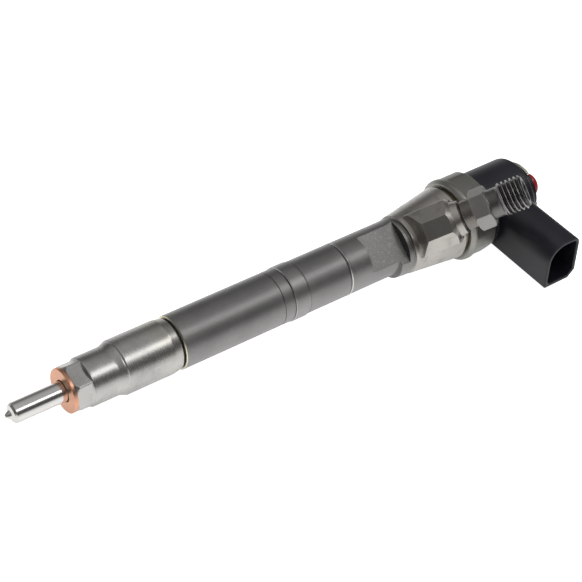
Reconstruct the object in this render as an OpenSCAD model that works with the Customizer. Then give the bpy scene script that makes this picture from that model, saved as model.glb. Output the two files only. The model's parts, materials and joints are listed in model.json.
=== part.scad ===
// Solenoid common-rail fuel injector, laid along X: nozzle tip at -X, solenoid head at +X.
// The origin is on the injector axis in the plane of the sealing washer's seat face.
// The electrical socket points along -Y. Azimuths turn about X, from -Y up towards +Z.

/* [Nozzle] */
// Diameter of the nozzle stem
stem_d = 7; // [6:0.1:8.5]
// Exposed length of the cylindrical stem
stem_len = 17.9; // [14:0.1:22]
// Length of the cone and sac in front of the stem
tip_len = 2.8; // [2.4:0.1:3.6]
// Radial step down from the stem to the neck inside the nut
neck_step = 0.2; // [0.16:0.01:0.4]
// Diameter of the sac nub at its very end
sac_d = 1.7; // [1.4:0.1:2]
// Diameter of each spray hole
spray_d = 0.2; // [0.12:0.01:0.3]
// Number of spray holes
spray_n = 6; // [4:1:8]
// Diameter of the needle's guide
needle_d = 4; // [3.5:0.1:4.8]
// Diameter of the needle's lower shaft
needle_shaft_d = 3.4; // [3:0.1:3.6]
// Radial running clearance of every lapped guide
guide_gap = 0.02; // [0.01:0.01:0.05]
// Lift of the needle
needle_lift = 0.25; // [0.15:0.01:0.35]
// Diameter of the nozzle's guide body
noz_body_d = 14.2; // [13:0.1:14.8]
// Length of the nozzle's guide body
noz_body_len = 18; // [15:0.5:22]

/* [Sealing washer] */
// Outside diameter of the washer
washer_d = 15.5; // [14:0.1:18]
// Thickness of the washer
washer_t = 1.5; // [1:0.1:2.5]
// Radial gap between washer and stem
washer_gap = 0.3; // [0.1:0.05:0.5]

/* [Nozzle nut] */
// Overall length of the nut
nut_len = 38.8; // [34:0.1:46]
// Diameter of the narrow part
nut_narrow_d = 17; // [16.2:0.1:18]
// Diameter of the wide part
nut_wide_d = 19; // [18:0.1:22.5]
// Distance across the flats of the wrench hexagon on the nose
nut_hex_af = 14.8; // [13.5:0.1:16]
// Length of the wrench hexagon
nut_hex_len = 5; // [4:0.1:6.3]
// Azimuth of one hexagon corner
nut_hex_az = 39.5; // [0:0.5:60]
// Distance from the nut's face to the start of the wide part
nut_step = 17.8; // [15:0.1:22]
// Thickness of the shoulder that clamps the nozzle
nose_wall = 6.5; // [6.4:0.1:8]
// Radial gap between the nut and the nozzle's guide body
nut_gap = 0.1; // [0.05:0.01:0.2]
// Width of the open gap between nut and body
joint_gap = 0.8; // [0.4:0.1:1.5]

/* [Body] */
// Diameter of the body shank
body_d = 19; // [18:0.1:23]
// Length of the shank, up to the wrench flats
shank_len = 76; // [62:0.1:94]
// Diameter of the thread that carries the nozzle nut
body_thread_d = 15.8; // [15:0.1:16.4]
// Height of the raised ring above the shank
ring_step = 0.3; // [0.1:0.05:0.6]
// Distance from the start of the shank to the first scribed groove
groove_1 = 39.1; // [34:0.1:44]
// Distance from the start of the shank to the raised ring
ring_x = 43.2; // [38:0.1:50]
// Width of the raised ring
ring_w = 5.8; // [4:0.1:8]
// Distance from the wrench flats back to the stepped collar line
collar_back = 9.4; // [6:0.1:14]
// Distance from the axis to each wrench flat
flat_h = 6.8; // [5.8:0.1:8]
// Length of the wrench flats
flat_len = 15.2; // [12:0.1:18.4]
// Azimuth of the wrench flats
flat_az = 52; // [30:1:70]
// Diameter of the bore the control plunger runs through
plunger_bore_d = 5; // [4.8:0.1:5.6]
// Diameter of the nozzle spring's chamber
spring_room_d = 7.4; // [7:0.1:7.8]
// Length of the nozzle spring's chamber
spring_room = 18; // [15:0.5:22]
// Diameter of the high-pressure drilling
drill_d = 1.8; // [1.4:0.1:2]

/* [Head] */
// Length of the head, from the flats to its end face
head_len = 23.7; // [20:0.1:28]
// Radial step up from the shank to the start of the head's taper
head_step = 0.45; // [0.1:0.05:0.8]
// Diameter of the head at its end face
head_d1 = 26.6; // [26:0.1:32]
// Tilt of the head's taper about the middle of its end face
head_tilt = 1.9; // [0:0.1:2.2]
// Length of the taper's start that lies beside the flats
head_lap = 3.5; // [2:0.1:5]
// Distance across the flats of the eight-sided inlet boss
boss_af = 15.9; // [14.6:0.1:17.4]
// Turn of one boss corner about the inlet's axis
boss_corner = 21.5; // [0:0.1:45]
// Distance from the flats to the flat front of the boss
boss_x = 4.1; // [3:0.1:6]
// Length of the round nose on the boss, round the inlet's shank
nose_len = 2.4; // [1.5:0.1:3]
// Diameter of the boss nose at its outer end
nose_d = 11.8; // [11.6:0.1:13]
// Diameter of the head's spigot inside the solenoid nut
spigot_d = 24; // [23.6:0.1:25]
// Length of the spigot
spigot_len = 7; // [6:0.1:8]

/* [Fuel inlet] */
// Angle between the inlet and the injector axis
inlet_angle = 42; // [38:1:50]
// Azimuth of the inlet
inlet_az = 46; // [36:1:60]
// Distance across the flats of the inlet's hexagon
hex_af = 13; // [12:0.5:16]
// Length of the hexagon
hex_len = 5.9; // [5:0.1:8]
// Turn of one hexagon corner about the inlet's axis
hex_corner = 40; // [0:1:60]
// Least distance between the hexagon and the solenoid nut
hex_gap = 2.2; // [1.6:0.1:4]
// Diameter of the inlet's shank below the hexagon
shank_d = 10.4; // [9.5:0.1:11]
// Distance from the boss face to the hexagon
inlet_shank = 7; // [5:0.1:8.4]
// Least distance between the shank and the solenoid nut
shank_gap = 2.1; // [1.5:0.1:4]
// Length of the neck between the hexagon and the thread
neck_len = 4.3; // [3:0.1:7]
// Major diameter of the union thread
thread_d = 12; // [11:0.5:14]
// Length of the union thread
thread_len = 8.6; // [7:0.1:12]
// Pitch of the union thread
thread_p = 1.5; // [1:0.25:2]
// Diameter of the inlet's fuel bore
inlet_bore = 3; // [2.4:0.1:4]

/* [Solenoid nut] */
// Outside diameter of the solenoid nut
sol_d = 30; // [28.6:0.1:34]
// Length of the solenoid nut
sol_len = 11.4; // [10.5:0.1:14]
// Distance across its six wrench flats
sol_af = 28.2; // [27:0.1:29.6]
// Width of the full round rim in front of the flats
sol_rim = 2.6; // [1.5:0.1:4]
// Azimuth of one corner between the wrench flats
sol_corner = 56; // [0:1:60]
// Gap between the head's end face and the nut
sol_gap = 0.9; // [0.5:0.1:1.5]

/* [Solenoid cap] */
// Diameter of the cap
cap_d = 26.3; // [26:0.1:28.4]
// Length of the cap
cap_len = 19.3; // [17.5:0.1:24]
// Distance from the injector axis to the socket's mouth
reach = 39.3; // [34:0.1:47]
// Width of the socket, along the injector
sock_w = 13.8; // [13:0.1:16.4]
// Height of the socket
sock_h = 17.8; // [16:0.1:20]
// Depth of the socket
sock_depth = 18; // [14:0.5:22]
// Wall of the socket
sock_wall = 1.3; // [1:0.1:1.8]
// Radius of the socket's large round corner
sock_arc = 7.6; // [6:0.1:8]
// Radius of the socket's small round corner
sock_round = 3; // [2:0.1:4]
// Size of the sloping cut on the socket's lower corner
sock_cut = 2.8; // [1.6:0.1:3.4]
// Width of each contact blade
blade_w = 2.8; // [2:0.1:3.2]
// Thickness of each contact blade
blade_t = 0.8; // [0.6:0.1:1]
// Distance between the two contact blades
blade_pitch = 5; // [4:0.1:6]
// Free length of the contact blades in the socket
blade_len = 9; // [7:0.5:12]
// Diameter of the round turret on the cap's end
turret_d = 19.2; // [16:0.1:22.4]
// Diameter of the turret's end face, behind the retaining clip
turret_top = 15; // [11:0.1:15.4]
// Height of the turret
turret_len = 4.4; // [3.5:0.1:6]
// Diameter of the wire of the retaining clip
wire_d = 1.5; // [1:0.1:1.8]
// Azimuth of the opening in the retaining clip
clip_az = 36; // [0:1:359]
// Angle of the opening in the retaining clip
clip_open = 72; // [50:1:120]
// Diameter of the return spigot
spout_d = 6.4; // [5:0.1:7.6]
// Height of the return spigot above the turret
spout_len = 4; // [3:0.1:5]
// Wall of the transit cap on the return spigot
seal_wall = 1.25; // [0.8:0.05:1.5]

/* [Valve] */
// Diameter of the control plunger's guide
plunger_d = 4.3; // [4:0.1:4.6]
// Diameter of the valve piece below its flange
valve_d = 9.2; // [8.6:0.1:9.4]
// Diameter of the pressure chamber round the valve piece
chamber_d = 9.8; // [9.6:0.1:10.4]
// Diameter of the valve cavity
cavity_d = 15.2; // [14.6:0.1:15.6]
// Thickness of the valve piece's flange
valve_flange = 3; // [2.5:0.1:3.5]
// Diameter of the valve ball
ball_d = 1.35; // [1.2:0.05:1.5]
// Lift of the valve ball and armature
valve_lift = 0.06; // [0.04:0.01:0.1]
// Diameter of the armature pin
pin_d = 2.9; // [2.6:0.1:3.2]
// Diameter of the armature plate
plate_d = 15; // [14:0.1:17]
// Thickness of the armature plate
plate_t = 2; // [1.6:0.1:2.4]
// Diameter of the solenoid core
core_d = 18.4; // [18:0.1:18.6]
// Length of the solenoid core
core_len = 12.6; // [11:0.1:14]

/* [Hidden] */

$fn = 96;
eps = 0.01;
steel = [0.62, 0.62, 0.61];
dark_steel = [0.40, 0.40, 0.40];
bright = [0.82, 0.82, 0.80];
copper = [0.80, 0.53, 0.40];
brass = [0.78, 0.65, 0.36];
plastic = [0.11, 0.11, 0.12];

// Stations along the injector axis
stem_r = stem_d / 2;
neck_r = stem_r - neck_step;
body_r = body_d / 2;
x_tip = -stem_len - tip_len;
x_nut = washer_t;
x_shoulder = x_nut + nose_wall;
x_join = x_shoulder + noz_body_len;
x_nut_end = x_nut + nut_len;
x_body = x_nut_end + joint_gap;
x_room = x_join + spring_room;
x_flat0 = x_body + shank_len;
x_flat1 = x_flat0 + flat_len;
x_head = x_flat1 + head_len;
x_sol = x_head + sol_gap;
x_sol_end = x_sol + sol_len;
x_cap_end = x_sol_end + cap_len;
x_turret = x_cap_end + turret_len;
x_spigot = x_head + spigot_len;
// The valve's stations count back from the head's end face
x_chamber = x_head - 22;
x_cavity = x_head - 8.5;
x_flange = x_cavity + 0.5;
x_valve = x_flange + valve_flange;
seat_mouth = 0.65;
x_ball = x_valve + (ball_d / 2 + 0.003) * sqrt(2) - seat_mouth;
guide_flange = 2;
x_guide = x_valve + guide_flange;
valve_nut_t = 3;
x_valve_nut = x_guide + valve_nut_t;
x_wide = x_valve_nut;
plate_clear = 2.2;
x_plate = x_valve_nut + plate_clear;
x_plate_top = x_plate + plate_t;
pin_collar_t = 1;
x_collar = x_plate_top + pin_collar_t;
core_air = 0.15;
x_core = x_plate_top + core_air;
x_core_end = x_core + core_len;
shim_t = 1;
x_shim_end = x_spigot + shim_t;
flange_t = 3;
spring_top = 9.8;
x_sol_spring = x_collar + spring_top;
// Control plunger and needle
spigot_r = 1.2;
x_needle_top = x_join + 0.3;
seat_t = 1.2;
x_seat_top = x_needle_top + seat_t;
x_spigot_top = x_seat_top + 1;
shim2_t = 1;
x_plunger_top = x_flange - 4.4;
foot_r = 1.8;
// Inlet
inlet_s = sin(inlet_angle);
inlet_c = cos(inlet_angle);
hex_rc = hex_af / sqrt(3);
sol_r = sol_d / 2;
x_inlet = x_sol - (sol_r * inlet_c + shank_d / 2 + shank_gap) / inlet_s;
l_hex = (sol_r + hex_gap + hex_rc * inlet_c) / inlet_s;
l_boss = l_hex - inlet_shank;
l_nose = l_boss + nose_len;
l_hex_end = l_hex + hex_len;
l_thread = l_hex_end + neck_len;
l_end = l_thread + thread_len;
neck_d = shank_d;
screw_in = 7.6;
screw_d = shank_d - 0.4;
l_screw = l_boss - screw_in;
drill_az = 142;
return_az = -38;

// Turns a shape drawn along Z so that it lies along X, from station x
module along_x(x = 0) {
    translate([x, 0, 0]) rotate([0, 90, 0]) children();
}

// Turns a shape drawn towards -Y to the given azimuth
module at_az(a) {
    rotate([-a, 0, 0]) children();
}

// Solid of revolution about the X axis from [radius, x] points
module turned(points) {
    along_x() rotate_extrude() polygon(points);
}

// Cylinder along X between two stations
module rod(x0, x1, r) {
    along_x(x0) cylinder(h = x1 - x0, r = r);
}

// Cone along X between two stations
module taper(x0, x1, r0, r1) {
    along_x(x0) cylinder(h = x1 - x0, r1 = r0, r2 = r1);
}

// Straight drilling between two points of the plane at azimuth a, each [x, distance from the axis]
module drilling(a, p, q, r) {
    d = q - p;
    len = norm(d);
    at_az(a) translate([p[0], -p[1], 0]) rotate([0, 0, -atan2(d[1], d[0])])
        along_x() cylinder(h = len, r = r);
}

// Frame of the fuel inlet: its own axis is drawn along X, with 0 on the injector axis
module on_inlet() {
    at_az(inlet_az) translate([x_inlet, 0, 0]) rotate([0, 0, -inlet_angle]) children();
}

// Regular prism along X with af across its flats, one corner at the given azimuth
module prism(n, af, x0, x1, corner) {
    at_az(corner) along_x(x0) rotate([0, 0, -90])
        cylinder(h = x1 - x0, r = af / 2 / cos(180 / n), $fn = n);
}

// Compression spring along X, swept as one closed surface with its ends dead flat
module coil(x0, x1, r, wire, turns, steps = 12, sides = 6) {
    wr = wire / 2;
    n = turns * steps;
    rise = x1 - x0 - wire;
    function lift(t) = let(u = t / turns, e = 0.75 / turns)
        u < e ? 0 : u > 1 - e ? 1 : (u - e) / (1 - 2 * e);
    pts = [for (i = [0:n]) let(a = 360 * i / steps, x = x0 + wr + rise * lift(i / steps))
        for (j = [0:sides - 1]) let(b = 360 * j / sides)
            [x + wr * sin(b), (r + wr * cos(b)) * cos(a), (r + wr * cos(b)) * sin(a)]];
    skin = [for (i = [0:n - 1]) for (j = [0:sides - 1])
        let(k = (j + 1) % sides)
        [i * sides + j, (i + 1) * sides + j, (i + 1) * sides + k, i * sides + k]];
    start = [for (j = [0:sides - 1]) j];
    finish = [for (j = [0:sides - 1]) n * sides + sides - 1 - j];
    polyhedron(points = pts, faces = concat(skin, [start, finish]));
}

module nozzle_body() {
    seat_r = 0.5;
    bore_r = needle_shaft_d / 2 + 0.45;
    x_sac = x_tip + 1.3;
    x_cone = x_sac + (bore_r - seat_r) / tan(30);
    room = 3;
    x_gallery = x_shoulder + 1.6;
    color(bright) difference() {
        union() {
            turned([[0, x_tip], [sac_d / 2 - 0.3, x_tip], [sac_d / 2, x_tip + 0.35],
                [sac_d / 2 + 0.75, x_tip + 1.7], [stem_r - 0.6, x_tip + 2.1],
                [stem_r, x_tip + tip_len], [stem_r, 0], [neck_r, neck_step],
                [neck_r, x_shoulder], [0, x_shoulder]]);
            turned([[0, x_shoulder - eps], [neck_r, x_shoulder - eps],
                [neck_r, x_shoulder], [noz_body_d / 2 - 0.4, x_shoulder],
                [noz_body_d / 2, x_shoulder + 0.4], [noz_body_d / 2, x_join - 0.4],
                [noz_body_d / 2 - 0.4, x_join], [0, x_join]]);
        }
        rod(x_sac - 0.5, x_sac + eps, seat_r);
        taper(x_sac, x_cone, seat_r, bore_r);
        rod(x_cone - eps, x_gallery + eps, bore_r);
        rod(x_gallery, x_gallery + room, needle_d / 2 + 1.3);
        rod(x_gallery + room - eps, x_join + 1, needle_d / 2 + guide_gap);
        drilling(drill_az, [x_gallery + room / 2, 2.8], [x_join + 0.5, 5.35], drill_d / 2);
        for (i = [0:spray_n - 1])
            at_az(i * 360 / spray_n + 20)
                drilling(0, [x_sac, 0.1], [x_sac - 0.9, 2.4], spray_d / 2);
        for (a = [22, 262])
            at_az(a) translate([x_join - 3, -5.2, 0]) along_x() cylinder(h = 4, r = 0.9);
    }
}

module nozzle_needle() {
    seat_r = 0.5;
    x_sac = x_tip + 1.3;
    nr = needle_shaft_d / 2;
    x_cone = x_sac + (nr - seat_r) / tan(30);
    x_guide0 = x_shoulder + 5.2;
    color(bright) turned([[0, x_sac + 0.05], [seat_r - 0.15, x_sac + 0.05],
        [nr - 0.02, x_cone + 0.02], [nr - 0.02, x_guide0 - 1.2], [needle_d / 2, x_guide0],
        [needle_d / 2, x_needle_top], [spigot_r, x_needle_top],
        [spigot_r, x_spigot_top], [0, x_spigot_top]]);
}

module spring_seat() {
    color(steel) difference() {
        rod(x_needle_top, x_seat_top, spring_room_d / 2 - 0.4);
        rod(x_needle_top - 1, x_seat_top + 1, spigot_r + 0.05);
    }
}

module nozzle_spring() {
    color(steel) coil(x_seat_top, x_room - shim2_t, 2.85, 0.9, 7);
}

module spring_shim() {
    color(steel) difference() {
        rod(x_room - shim2_t, x_room, spring_room_d / 2 - 0.1);
        rod(x_room - shim2_t - 1, x_room + 1, plunger_bore_d / 2);
    }
}

module locating_pins() {
    color(steel) for (a = [22, 262])
        at_az(a) translate([x_join - 3, -5.2, 0]) along_x() cylinder(h = 6, r = 0.9);
}

module sealing_washer() {
    e = 0.2;
    ro = washer_d / 2;
    ri = stem_r + washer_gap;
    color(copper) turned([[ri + e, 0], [ro - e, 0], [ro, e], [ro, washer_t - e],
        [ro - e, washer_t], [ri + e, washer_t], [ri, washer_t - e], [ri, e]]);
}

module nozzle_nut() {
    nr = nut_narrow_d / 2;
    wr = nut_wide_d / 2;
    x_hex = x_nut + nut_hex_len;
    x_step = x_nut + nut_step;
    hr = nut_hex_af / 2;
    color(steel) difference() {
        union() {
            intersection() {
                prism(6, nut_hex_af, x_nut, x_hex + 1, nut_hex_az);
                taper(x_nut, x_hex + 1, hr + 0.35, hr + 0.35 + (nut_hex_len + 1) * 0.7);
                rod(x_nut - 1, x_hex + 2, nr);
            }
            turned([[0, x_hex], [hr + 0.1, x_hex], [nr, x_hex + 0.9], [nr, x_step - 2.2],
                [nr + 0.5, x_step - 0.7], [wr - 0.35, x_step - 0.2], [wr - 0.35, x_step + 0.15],
                [wr, x_step + 0.5], [wr, x_nut_end - 3.1], [wr - 0.55, x_nut_end],
                [0, x_nut_end]]);
        }
        rod(x_nut - 1, x_nut_end + 1, stem_r + 0.1);
        rod(x_shoulder, x_nut_end + 1, noz_body_d / 2 + nut_gap);
        rod(x_join + 1.5, x_nut_end + 1, body_thread_d / 2 + 0.05);
    }
}

module head_taper() {
    hr = body_r + head_step;
    er = head_d1 / 2;
    groove = 0.45;
    intersection() {
        at_az(inlet_az - 90) translate([x_head, 0, 0]) rotate([0, 0, head_tilt])
            translate([-x_head, 0, 0])
                turned([[0, x_flat1 - head_lap], [hr, x_flat1 - head_lap],
                    [hr + 0.35, x_flat1 - 0.8], [hr + 0.5, x_flat1 + 1.1],
                    [hr + 0.5 - groove, x_flat1 + 1.3], [hr + 0.5 - groove, x_flat1 + 2.2],
                    [hr + 0.8, x_flat1 + 2.5], [er, x_head - 0.8], [er, x_head + 1],
                    [0, x_head + 1]]);
        turned([[0, x_flat0], [er + 1, x_flat0], [er + 1, x_head - 1.8], [er - 0.8, x_head],
            [0, x_head]]);
    }
}

module inlet_boss() {
    chamfer = 0.9;
    intersection() {
        on_inlet() intersection() {
            prism(8, boss_af, 4, l_boss, boss_corner);
            turned([[0, 0], [boss_af, 0], [boss_af, l_boss - boss_af / 2 - chamfer],
                [boss_af / 2 - chamfer, l_boss], [0, l_boss]]);
        }
        translate([x_flat1 + boss_x, -40, -40]) cube([40, 80, 80]);
    }
}

// Tapered head and inlet boss, faced square to the inlet, with the round nose that stands on it
module head() {
    difference() {
        union() {
            head_taper();
            inlet_boss();
        }
        on_inlet() rod(l_boss, l_boss + 14, boss_af / 2 + 1);
    }
    on_inlet() taper(l_boss - 2, l_nose, nose_d / 2 + 0.8, nose_d / 2);
}

module injector_body() {
    tr = body_thread_d / 2;
    gr = 0.35;
    x1 = x_body + groove_1;
    x2 = x_body + ring_x;
    x3 = x2 + ring_w;
    x4 = x_flat0 - collar_back;
    rr = body_r + ring_step;
    color(dark_steel) difference() {
        union() {
            turned([[0, x_join], [noz_body_d / 2 - 0.4, x_join], [noz_body_d / 2, x_join + 0.4],
                [noz_body_d / 2, x_join + 2.6], [tr, x_join + 3.3], [tr, x_nut_end - 1.8],
                [tr - 0.7, x_nut_end - 1.1], [tr - 0.7, x_body], [body_r - 0.4, x_body],
                [body_r, x_body + 0.4], [body_r, x1], [body_r - gr, x1 + 0.15],
                [body_r - gr, x1 + 0.45], [body_r, x1 + 0.6], [body_r, x2],
                [body_r - gr, x2 + 0.1], [body_r - gr, x2 + 0.4], [rr, x2 + 0.7], [rr, x3],
                [body_r - gr, x3 + 0.3], [body_r - gr, x3 + 0.8], [body_r, x3 + 1.1],
                [body_r, x4], [body_r - gr, x4 + 0.15], [body_r - gr, x4 + 0.5],
                [body_r + 0.1, x4 + 0.9], [body_r + 0.1, x4 + 1.2], [body_r, x4 + 1.5],
                [body_r, x_flat1 + 1], [0, x_flat1 + 1]]);
            head();
            turned([[0, x_head - 1], [spigot_d / 2 - 0.6, x_head - 1], [spigot_d / 2 - 0.6, x_sol],
                [spigot_d / 2, x_sol + 0.6], [spigot_d / 2, x_spigot - 0.5],
                [spigot_d / 2 - 0.5, x_spigot], [0, x_spigot]]);
        }
        for (side = [0, 180])
            at_az(flat_az + side) translate([x_flat0, -flat_h - 20, -20])
                cube([flat_len, 20, 40]);
        rod(x_join - 1, x_room, spring_room_d / 2);
        rod(x_room - 1, x_chamber + 1, plunger_bore_d / 2);
        rod(x_chamber, x_cavity + 1, chamber_d / 2);
        rod(x_cavity, x_wide + 1, cavity_d / 2);
        rod(x_wide, x_spigot + 1, core_d / 2 + 0.3);
        drilling(drill_az, [x_join - 1, 5.35], [x_chamber + 5, 5.35], drill_d / 2);
        drilling(return_az, [x_join + 6, 3], [x_cavity + 1, 6.8], 0.8);
        on_inlet() {
            rod(l_screw, l_nose + 1, screw_d / 2 + 0.05);
            rod(0, l_screw + 1, inlet_bore / 2 - 0.3);
        }
        for (a = [22, 262])
            at_az(a) translate([x_join - 1, -5.2, 0]) along_x() cylinder(h = 4, r = 0.9);
    }
}

module control_plunger() {
    pr = plunger_d / 2;
    x_guide0 = x_chamber + 1;
    color(bright) turned([[0, x_spigot_top], [foot_r - 0.3, x_spigot_top],
        [foot_r, x_spigot_top + 0.3], [foot_r, x_room + 2], [pr - 0.05, x_room + 3],
        [pr - 0.05, x_guide0 - 1], [pr, x_guide0], [pr, x_plunger_top - 1],
        [pr - 1, x_plunger_top], [0, x_plunger_top]]);
}

module valve_piece() {
    x0 = x_chamber + 0.8;
    roof = 2;
    color(steel) difference() {
        union() {
            turned([[0, x0], [valve_d / 2 - 0.5, x0], [valve_d / 2, x0 + 0.5],
                [valve_d / 2, x_flange], [cavity_d / 2 - 0.2, x_flange],
                [cavity_d / 2 - 0.2, x_valve], [0, x_valve]]);
        }
        rod(x0 - 1, x_flange - roof, plunger_d / 2 + guide_gap);
        rod(x_flange - roof - 1, x_valve + 1, 0.2);
        taper(x_valve - seat_mouth + 0.2, x_valve + eps, 0.2, seat_mouth + eps);
        drilling(drill_az, [x_flange - roof - 0.6, 1.5], [x_flange - roof - 0.6, 6], 0.2);
    }
}

module valve_seal() {
    color(steel) difference() {
        rod(x_cavity, x_flange, cavity_d / 2 - 0.4);
        rod(x_cavity - 1, x_flange + 1, chamber_d / 2 + 0.1);
    }
}

module valve_ball() {
    color(bright) translate([x_ball, 0, 0]) sphere(r = ball_d / 2);
}

module armature_guide() {
    color(steel) difference() {
        union() {
            rod(x_valve, x_guide, cavity_d / 2 - 0.2);
            rod(x_guide - 1, x_valve_nut + 0.9, pin_d / 2 + 1.3);
        }
        rod(x_valve - 1, x_valve + 1.5, pin_d / 2 + 0.5);
        rod(x_valve, x_valve_nut + 2, pin_d / 2 + guide_gap);
        for (a = [0, 120, 240])
            at_az(a) translate([x_valve - 1, -4.8, 0]) along_x() cylinder(h = 4, r = 0.55);
    }
}

module valve_nut() {
    color(steel) difference() {
        rod(x_guide, x_valve_nut, cavity_d / 2 - 0.05);
        rod(x_guide - 1, x_valve_nut + 1, 5.4);
        for (a = [0, 90, 180, 270])
            at_az(a) translate([x_valve_nut - 1, -cavity_d, -0.8]) cube([3, cavity_d - 5, 1.6]);
    }
}

module armature_pin() {
    x0 = x_ball + 0.35;
    pr = pin_d / 2;
    color(bright) difference() {
        turned([[0, x0], [pr - 0.4, x0], [pr, x0 + 0.4], [pr, x_plate_top], [pr + 0.9, x_plate_top],
            [pr + 0.9, x_collar], [pr - 0.5, x_collar], [pr - 0.5, x_collar + 1.6],
            [0, x_collar + 1.6]]);
        translate([x_ball, 0, 0]) sphere(r = ball_d / 2 + 0.005);
    }
}

module armature_plate() {
    pr = pin_d / 2;
    color(steel) difference() {
        union() {
            rod(x_plate, x_plate_top, plate_d / 2);
            rod(x_plate - 0.9, x_plate, pr + 1);
        }
        rod(x_plate - 2, x_plate_top + 1, pr + guide_gap);
        for (a = [0:60:300])
            at_az(a) translate([x_plate - 1, -plate_d / 2 + 1.6, 0]) along_x()
                cylinder(h = plate_t + 2, r = 0.9);
    }
}

module overtravel_spring() {
    color(steel) coil(x_guide, x_plate, 3.9, 0.6, 4);
}

module solenoid_core() {
    cr = core_d / 2;
    color(dark_steel) difference() {
        turned([[2.7, x_core], [cr, x_core], [cr, x_core_end], [2.7, x_core_end]]);
        difference() {
            rod(x_core - 1, x_core_end - 3.2, cr - 1.9);
            rod(x_core - 2, x_core_end, 4.6);
        }
    }
}

module solenoid_coil() {
    cr = core_d / 2;
    color(copper) difference() {
        rod(x_core + 0.4, x_core_end - 3.2, cr - 2);
        rod(x_core, x_core_end, 4.7);
    }
}

module solenoid_spring() {
    color(steel) coil(x_collar, x_sol_spring, 1.75, 0.7, 7);
}

module spring_spacer() {
    color(steel) difference() {
        rod(x_sol_spring, x_core_end, 2.7);
        rod(x_sol_spring - 1, x_core_end + 1, 0.9);
    }
}

module lift_shim() {
    color(bright) difference() {
        rod(x_spigot, x_shim_end, spigot_d / 2 - 0.2);
        rod(x_spigot - 1, x_shim_end + 1, core_d / 2 + 0.3);
    }
}

module solenoid_housing() {
    cr = core_d / 2;
    x_top = x_core_end + 2;
    groove = x_sol_end + 2.4;
    color(steel) difference() {
        turned([[cr + 0.02, x_shim_end], [spigot_d / 2 - 0.2, x_shim_end],
            [spigot_d / 2 - 0.2, x_shim_end + flange_t], [cr + 1.6, x_shim_end + flange_t],
            [cr + 1.6, groove - 0.7], [cr + 0.7, groove - 0.7], [cr + 0.7, groove + 0.7],
            [cr + 1.6, groove + 0.7], [cr + 1.6, x_top - 0.5], [cr + 1.1, x_top],
            [1.5, x_top], [1.5, x_core_end], [cr + 0.02, x_core_end]]);
    }
}

module housing_o_ring() {
    cr = core_d / 2;
    color(plastic) along_x(x_sol_end + 2.4) rotate_extrude()
        translate([cr + 1.2, 0]) circle(r = 0.5, $fn = 32);
}

module solenoid_nut() {
    cr = core_d / 2;
    x_seat = x_shim_end + flange_t;
    color(dark_steel) difference() {
        intersection() {
            turned([[0, x_sol], [sol_r - 1, x_sol], [sol_r, x_sol + 1.2],
                [sol_r, x_sol_end - 1.2], [sol_r - 1.1, x_sol_end], [0, x_sol_end]]);
            union() {
                prism(6, sol_af, x_sol, x_sol_end + 1, sol_corner);
                rod(x_sol - 1, x_sol + sol_rim, sol_r + 1);
            }
        }
        rod(x_sol - 1, x_seat, spigot_d / 2 + 0.05);
        rod(x_seat - 1, x_sol_end + 1, cr + 1.75);
    }
}

module inlet_fitting() {
    tr = thread_d / 2;
    nr = neck_d / 2;
    sr = screw_d / 2;
    color(dark_steel) on_inlet() difference() {
        union() {
            turned([[0, l_screw], [sr - 0.6, l_screw], [sr, l_screw + 0.6], [sr, l_nose - 1],
                [sr - 0.5, l_nose - 0.6], [sr - 0.5, l_nose + 0.4], [nr, l_nose + 0.8],
                [nr, l_hex + eps], [0, l_hex + eps]]);
            intersection() {
                prism(6, hex_af, l_hex, l_hex_end, hex_corner);
                turned([[0, l_hex], [hex_af / 2 + 0.2, l_hex], [hex_af / 2 + 1.4, l_hex + 0.8],
                    [hex_af / 2 + 1.4, l_hex_end - 0.8], [hex_af / 2 + 0.2, l_hex_end],
                    [0, l_hex_end]]);
            }
            turned([[0, l_hex_end - eps], [nr, l_hex_end - eps], [nr, l_thread - 0.8],
                [tr, l_thread], [tr, l_end - 1], [tr - 1, l_end], [0, l_end]]);
        }
        rod(l_screw - 1, l_end, inlet_bore / 2);
        taper(l_end - 4.2, l_end + 0.02, inlet_bore / 2, inlet_bore / 2 + 4.22 * tan(30));
        rod(l_hex, l_end - 4.5, inlet_bore / 2 + 0.4);
    }
}

module edge_filter() {
    fr = inlet_bore / 2 + 0.4;
    flutes = 4;
    color(steel) on_inlet() difference() {
        turned([[0, l_hex], [fr - 0.2, l_hex], [fr, l_hex + 0.2], [fr, l_hex + 9.3],
            [fr - 0.9, l_hex + 10.2], [0, l_hex + 10.2]]);
        for (i = [0:flutes - 1])
            at_az(i * 360 / flutes) translate([l_hex - 1, -fr - 0.4, -0.3])
                cube([12, 0.9, 0.6]);
    }
}

// Outline of the socket seen from its mouth, X to the right and Z up
module socket_outline(w, h, r_tl, r_tr, r_bl, c_br) {
    x = w / 2;
    z = h / 2;
    polygon([[-x + r_bl, -z], [x - c_br, -z], [x, -z + c_br], [x, z - r_tr], [x - r_tr, z],
        [-x + r_tl, z], [-x, z - r_tl], [-x, -z + r_bl]]);
    translate([-x + r_tl, z - r_tl]) circle(r = r_tl);
    translate([x - r_tr, z - r_tr]) circle(r = r_tr);
    translate([-x + r_bl, -z + r_bl]) circle(r = r_bl);
}

// Extrudes an outline from y0 outwards to y1 along -Y, at the socket's station
module towards_socket(y0, y1) {
    translate([x_sol_end + 8.6, -y0, 0]) rotate([90, 0, 0]) linear_extrude(y1 - y0) children();
}

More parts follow.
